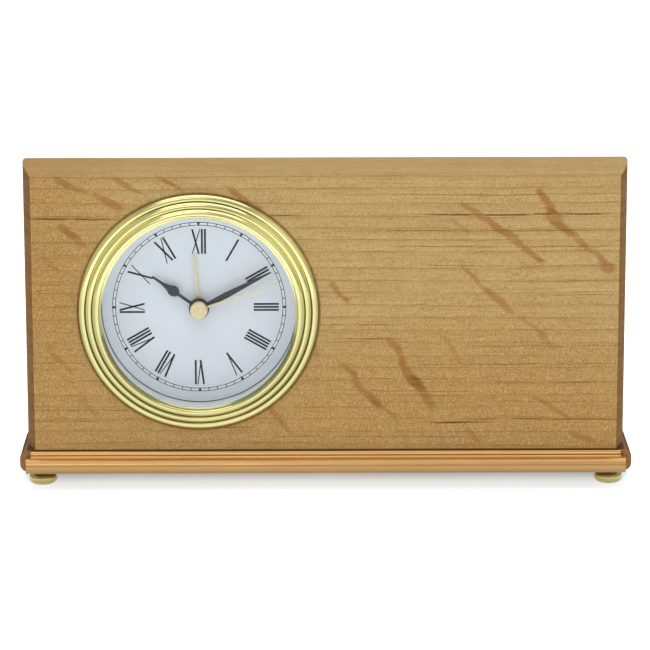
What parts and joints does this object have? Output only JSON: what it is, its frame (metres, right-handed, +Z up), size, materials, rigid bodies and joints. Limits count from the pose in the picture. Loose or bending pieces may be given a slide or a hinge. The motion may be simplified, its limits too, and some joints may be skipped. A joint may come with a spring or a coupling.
{
  "type": "desk clock",
  "caption": "Free-standing desk clock: round-edged wooden slab on a base with a metal moulding and bun feet, holding a round quartz alarm insert with Roman numerals.",
  "frame": {"origin": "on the table, under the middle of the clock's outer box", "axes": "+X along the slab to the right as seen from the front, +Y away from the viewer, +Z up"},
  "size_m": [0.2558, 0.0446, 0.1363],
  "materials": {
    "wood": "satin lacquer, light tan",
    "base_wood": "satin lacquer, tan, darker at the ends",
    "gold": "polished rose gold",
    "brass": "polished",
    "steel": "zinc plated",
    "glass": "clear",
    "gasket": "matte",
    "grip": "matte",
    "black_plastic": "matte black",
    "white_plastic": "satin white",
    "dial": "satin white print",
    "black_paint": "satin black",
    "gold_hand": "satin pale gold",
    "gear_plastic": "natural",
    "rotor": "sintered magnet",
    "copper": "enamelled copper wire",
    "board": "green solder mask",
    "chip": "epoxy",
    "cell": "printed sleeve"
  },
  "bodies": {
    "case": {"wood_panel": "wood", "base_board": "base_wood", "front_moulding": "gold", "foot_front_left": "brass", "foot_front_right": "brass", "foot_rear_left": "brass", "foot_rear_right": "brass", "base_screws": "steel"},
    "insert": {"insert_can": "black_plastic", "grip_band": "grip", "bezel": "brass", "crystal": "glass", "crystal_gasket": "gasket", "reflector_ring": "white_plastic", "dial": "dial", "movement_front_plate": "black_plastic", "movement_middle_plate": "black_plastic", "movement_rear_housing": "black_plastic", "movement_screws": "steel", "can_screws": "steel", "motor_stator": "steel", "coil_core": "steel", "coil_bobbin": "white_plastic", "coil_winding": "copper", "motor_screws": "steel", "battery_cell": "cell", "battery_contact_negative": "steel", "battery_contact_positive": "steel", "circuit_board": "board", "clock_chip": "chip", "quartz_crystal": "steel", "board_screws": "steel", "alarm_sounder": "brass", "alarm_contact_leaf": "brass"},
    "minute": {"minute_hand": "black_paint", "cannon_pinion": "gear_plastic", "clutch_washer": "brass"},
    "time_setting": {"minute_wheel": "gear_plastic", "time_setting_knob": "black_plastic"},
    "hour": {"hour_hand": "black_paint", "hour_wheel": "gear_plastic"},
    "second": {"second_hand": "gold_hand", "hand_cap": "gold_hand", "second_wheel": "gear_plastic"},
    "third": {"third_wheel": "gear_plastic"},
    "centre": {"centre_wheel": "gear_plastic"},
    "intermediate": {"intermediate_wheel": "gear_plastic"},
    "rotor": {"motor_rotor": "rotor"},
    "alarm": {"alarm_hand": "gold_hand", "alarm_wheel": "gear_plastic"},
    "alarm_setting": {"alarm_arbor": "gear_plastic", "alarm_setting_knob": "black_plastic"},
    "alarm_slide": {"alarm_switch": "black_plastic"},
    "cover": {"battery_cover": "black_plastic"}
  },
  "joints": [
    {"name": "insert_pull_out", "type": "slide", "parent": "case", "child": "insert", "axis": [0, -1, 0], "range_m": [0, 0.04]},
    {"name": "minute_hand_turn", "type": "hinge", "parent": "insert", "child": "minute", "pos_m": [-0.0526, -0.0008, 0.0756], "axis": [0, 1, 0], "continuous": true},
    {"name": "time_knob_turn", "type": "hinge", "parent": "insert", "child": "time_setting", "pos_m": [-0.06299, -0.0008, 0.0816], "axis": [0, 1, 0], "continuous": true},
    {"name": "hour_hand_turn", "type": "hinge", "parent": "insert", "child": "hour", "pos_m": [-0.0526, -0.0008, 0.0756], "axis": [0, 1, 0], "continuous": true},
    {"name": "second_hand_turn", "type": "hinge", "parent": "insert", "child": "second", "pos_m": [-0.0526, -0.0008, 0.0756], "axis": [0, 1, 0], "continuous": true},
    {"name": "third_wheel_turn", "type": "hinge", "parent": "insert", "child": "third", "pos_m": [-0.0526, -0.0008, 0.0858], "axis": [0, 1, 0], "continuous": true},
    {"name": "centre_wheel_turn", "type": "hinge", "parent": "insert", "child": "centre", "pos_m": [-0.0526, -0.0008, 0.0756], "axis": [0, 1, 0], "continuous": true},
    {"name": "intermediate_wheel_turn", "type": "hinge", "parent": "insert", "child": "intermediate", "pos_m": [-0.06096, -0.0008, 0.06975], "axis": [0, 1, 0], "continuous": true},
    {"name": "rotor_turn", "type": "hinge", "parent": "insert", "child": "rotor", "pos_m": [-0.06785, -0.0008, 0.06853], "axis": [0, 1, 0], "continuous": true},
    {"name": "alarm_hand_turn", "type": "hinge", "parent": "insert", "child": "alarm", "pos_m": [-0.0526, -0.0008, 0.0756], "axis": [0, 1, 0], "continuous": true},
    {"name": "alarm_knob_turn", "type": "hinge", "parent": "insert", "child": "alarm_setting", "pos_m": [-0.04221, -0.0008, 0.0816], "axis": [0, 1, 0], "continuous": true},
    {"name": "alarm_switch_slide", "type": "slide", "parent": "insert", "child": "alarm_slide", "axis": [1, 0, 0], "range_m": [0, 0.004]},
    {"name": "battery_cover_lift", "type": "slide", "parent": "insert", "child": "cover", "axis": [0, 1, 0], "range_m": [0, 0.03]}
  ],
  "couplings": [
    {"joint": "time_knob_turn", "follows": "minute_hand_turn", "ratio": -0.33333},
    {"joint": "hour_hand_turn", "follows": "minute_hand_turn", "ratio": 0.083333},
    {"joint": "third_wheel_turn", "follows": "second_hand_turn", "ratio": -0.13333},
    {"joint": "centre_wheel_turn", "follows": "second_hand_turn", "ratio": 0.016667},
    {"joint": "intermediate_wheel_turn", "follows": "second_hand_turn", "ratio": -5},
    {"joint": "rotor_turn", "follows": "second_hand_turn", "ratio": 30},
    {"joint": "alarm_knob_turn", "follows": "alarm_hand_turn", "ratio": -4}
  ]
}
